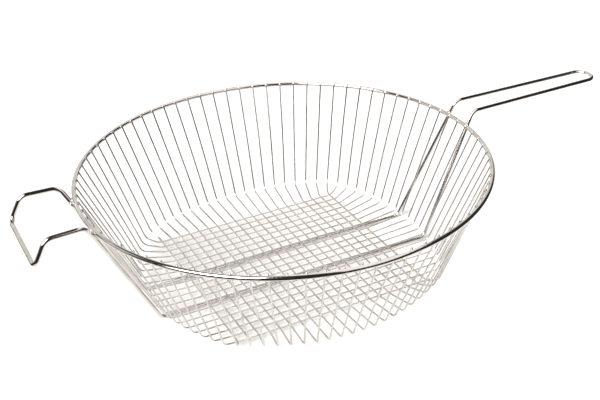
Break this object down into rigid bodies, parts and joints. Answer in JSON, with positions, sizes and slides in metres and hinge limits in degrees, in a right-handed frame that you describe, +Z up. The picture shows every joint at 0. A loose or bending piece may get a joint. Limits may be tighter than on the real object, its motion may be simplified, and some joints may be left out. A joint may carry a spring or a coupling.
{
  "type": "grill basket",
  "caption": "Round welded wire basket with sloping open walls, a flat square-mesh bottom, one long loop handle and an angled rest hook.",
  "frame": {"origin": "on the basket's vertical axis, on the plane that its two runners stand on", "axes": "+X from the axis along the handle, with the rest hook at -X; +Z up out of the basket's mouth; +Y to the left of the handle, looking out along it"},
  "size_m": [0.558, 0.356, 0.1143],
  "materials": {
    "rim_wire": "bright nickel-chrome plating on heavy steel wire",
    "heavy_wire": "bright nickel-chrome plating on bent steel wire",
    "mesh_wire": "bright plating on fine steel wire, slightly duller than the rim"
  },
  "bodies": {
    "root": {"rim_ring": "rim_wire", "handle_wire": "heavy_wire", "rest_hook": "heavy_wire", "cross_wire_01": "mesh_wire", "cross_wire_02": "mesh_wire", "cross_wire_03": "mesh_wire", "cross_wire_04": "mesh_wire", "cross_wire_05": "mesh_wire", "cross_wire_06": "mesh_wire", "cross_wire_07": "mesh_wire", "cross_wire_08": "mesh_wire", "cross_wire_09": "mesh_wire", "cross_wire_10": "mesh_wire", "cross_wire_11": "mesh_wire", "cross_wire_12": "mesh_wire", "cross_wire_13": "mesh_wire", "cross_wire_14": "mesh_wire", "cross_wire_15": "mesh_wire", "cross_wire_16": "mesh_wire", "cross_wire_17": "mesh_wire", "cross_wire_18": "mesh_wire", "cross_wire_19": "mesh_wire", "cross_wire_20": "mesh_wire", "long_wire_01": "mesh_wire", "long_wire_02": "mesh_wire", "long_wire_03": "mesh_wire", "long_wire_04": "mesh_wire", "long_wire_05": "mesh_wire", "long_wire_06": "mesh_wire", "long_wire_07": "mesh_wire", "long_wire_08": "mesh_wire", "long_wire_09": "mesh_wire", "long_wire_10": "mesh_wire", "long_wire_11": "mesh_wire", "long_wire_12": "mesh_wire", "long_wire_13": "mesh_wire", "long_wire_14": "mesh_wire", "long_wire_15": "mesh_wire", "long_wire_16": "mesh_wire", "long_wire_17": "mesh_wire", "long_wire_18": "mesh_wire", "long_wire_19": "mesh_wire", "long_wire_20": "mesh_wire"}
  },
  "joints": []
}
